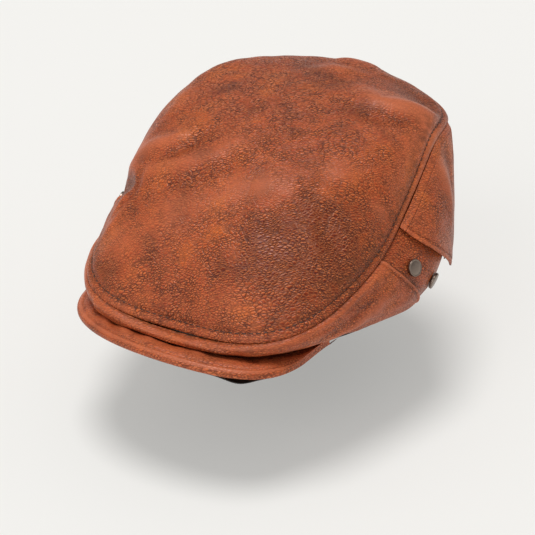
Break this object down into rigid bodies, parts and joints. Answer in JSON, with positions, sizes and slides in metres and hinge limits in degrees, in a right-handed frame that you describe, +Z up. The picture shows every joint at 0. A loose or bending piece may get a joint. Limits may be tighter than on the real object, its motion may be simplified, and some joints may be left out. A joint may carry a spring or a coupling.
{
  "type": "flat cap",
  "caption": "Leather flat cap with a duckbill crown, short brim, hanging side flaps over press-studded side panels, padded lining and a sweatband.",
  "frame": {"origin": "centre of the head opening, on the plane of the sweatband's lower edge, which the cap stands on", "axes": "-Y towards the brim, +X towards the wearer's left, +Z up to the crown"},
  "size_m": [0.211, 0.2549, 0.1071],
  "materials": {
    "leather": "distressed tan pull-up leather, satin",
    "flap_lining": "black woven lining",
    "brim_board": "stiff moulded sheet",
    "brim_underside": "black leather, matte",
    "padding": "grey needled felt",
    "lining": "black quilted twill",
    "sweatband": "smooth black leather",
    "elastic": "black ribbed elastic",
    "label": "blank woven tape",
    "stud_cap": "gunmetal, worn satin",
    "stud_black": "black oxide"
  },
  "bodies": {
    "root": {"crown_top_panel": "leather", "front_side_panel": "leather", "rear_side_panel_left": "leather", "rear_side_panel_right": "leather", "brim_top_cover": "leather", "brim_board": "brim_board", "brim_under_cover": "brim_underside", "crown_padding": "padding", "crown_lining": "lining", "side_interlining": "padding", "side_lining": "lining", "sweatband": "sweatband", "sweatband_elastic": "elastic", "size_label": "label", "stud_cap_upper_left": "stud_cap", "stud_cap_lower_left": "stud_cap", "stud_cap_rear_left": "stud_black", "stud_cap_upper_right": "stud_cap", "stud_cap_lower_right": "stud_cap", "stud_cap_rear_right": "stud_black", "stud_backing_upper_left": "stud_black", "stud_backing_lower_left": "stud_black", "stud_backing_rear_left": "stud_black", "stud_backing_upper_right": "stud_black", "stud_backing_lower_right": "stud_black", "stud_backing_rear_right": "stud_black"},
    "flap_left": {"side_flap_left": "leather", "side_flap_lining_left": "flap_lining"},
    "flap_right": {"side_flap_right": "leather", "side_flap_lining_right": "flap_lining"}
  },
  "joints": [
    {"name": "flap_left_lift", "type": "hinge", "parent": "root", "child": "flap_left", "pos_m": [0.0843, 0.033, 0.0732], "axis": [0.1667, -0.952, -0.2566], "range_deg": [0, 55]},
    {"name": "flap_right_lift", "type": "hinge", "parent": "root", "child": "flap_right", "pos_m": [-0.0875, 0.0335, 0.0743], "axis": [0.2152, 0.9315, 0.2934], "range_deg": [0, 55]}
  ]
}
